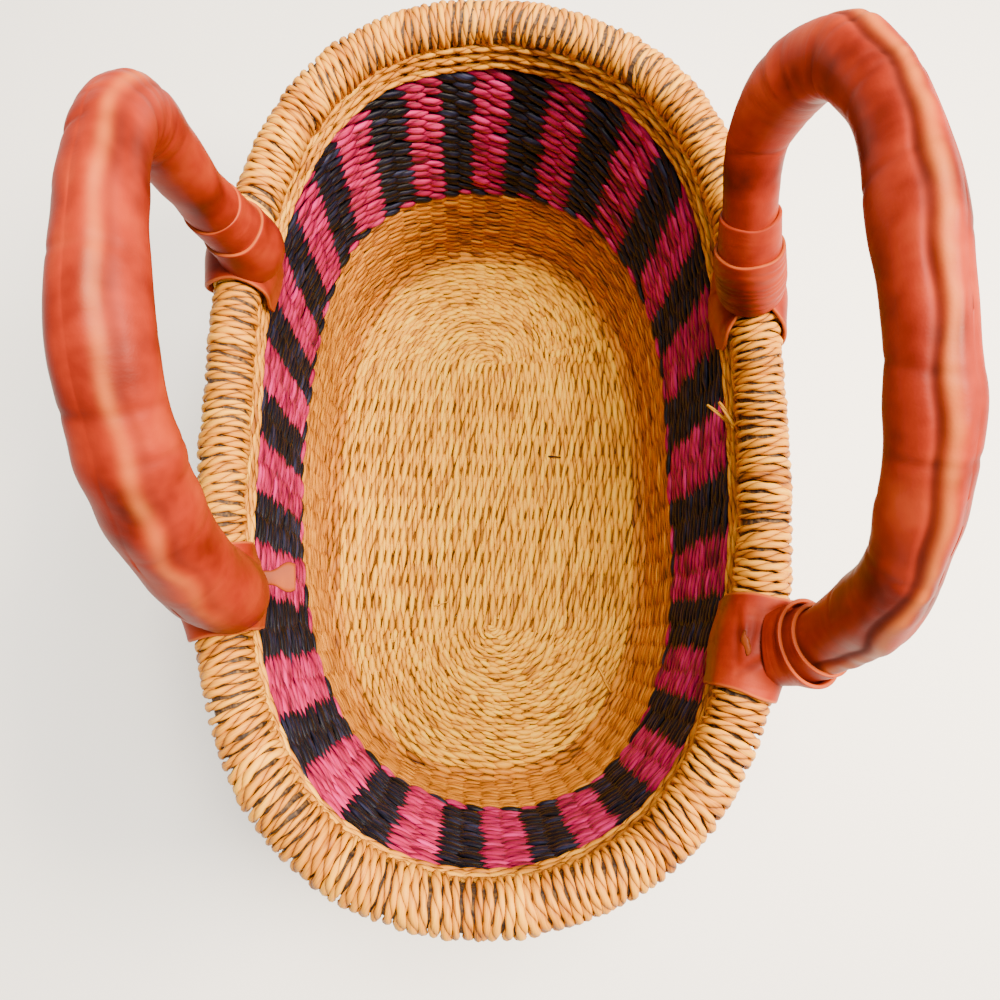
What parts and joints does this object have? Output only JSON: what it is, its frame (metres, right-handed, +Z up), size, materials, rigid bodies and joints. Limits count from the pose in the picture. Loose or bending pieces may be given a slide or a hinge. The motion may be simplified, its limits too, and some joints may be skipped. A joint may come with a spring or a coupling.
{
  "type": "bolga basket",
  "caption": "Oval open market basket of twined straw with a dyed upright stripe band, a wound rim roll and leather arch handles hinged on the long sides.",
  "frame": {"origin": "centre of the flat underside of the floor, where the basket stands", "axes": "+X to the right-hand side of the basket, across its short width; +Y along its length to the far end, which the long side of the handles' bulge leans to; +Z up"},
  "size_m": [0.2337, 0.3585, 0.3001],
  "materials": {
    "natural_straw": "twisted dry grass, satin",
    "floor_straw": "twisted dry grass, satin",
    "dyed_straw": "twisted grass dyed pink and near black in upright stripes",
    "twisted_dyed_straw": "one pink and one near black strand twisted together",
    "bundled_straw_ends": "dry grass ends, bundled",
    "cattle_leather": "vegetable tanned and dyed orange red, polished and creased",
    "tan_leather": "undyed cut edge",
    "grass_core": "tied bundle of dry grass"
  },
  "bodies": {
    "basket": {"floor_weave": "floor_straw", "lower_wall": "floor_straw", "border_row": "twisted_dyed_straw", "dyed_band": "dyed_straw", "rope_row_lower": "natural_straw", "rope_row_middle": "natural_straw", "rope_row_upper": "natural_straw", "rim_core": "bundled_straw_ends", "rim_wrap": "natural_straw", "right_far_saddle": "cattle_leather", "right_near_saddle": "cattle_leather", "left_far_saddle": "cattle_leather", "left_near_saddle": "cattle_leather", "right_near_tie_end": "tan_leather", "left_near_tie_end": "tan_leather"},
    "right_handle": {"right_handle_core": "grass_core", "right_handle_sleeve": "cattle_leather", "right_near_lower_collar": "cattle_leather", "right_near_upper_collar": "cattle_leather", "right_far_lower_cuff": "cattle_leather", "right_far_upper_cuff": "cattle_leather"},
    "left_handle": {"left_handle_core": "grass_core", "left_handle_sleeve": "cattle_leather", "left_far_lower_cuff": "cattle_leather", "left_far_upper_cuff": "cattle_leather"}
  },
  "joints": [
    {"name": "right_handle_hinge", "type": "hinge", "parent": "basket", "child": "right_handle", "pos_m": [0.09146, -0.085, 0.175], "axis": [0.0525, 0.9986, 0], "range_deg": [-20, 60]},
    {"name": "left_handle_hinge", "type": "hinge", "parent": "basket", "child": "left_handle", "pos_m": [-0.0978, -0.067, 0.175], "axis": [0, -1, 0], "range_deg": [-20, 60]}
  ]
}
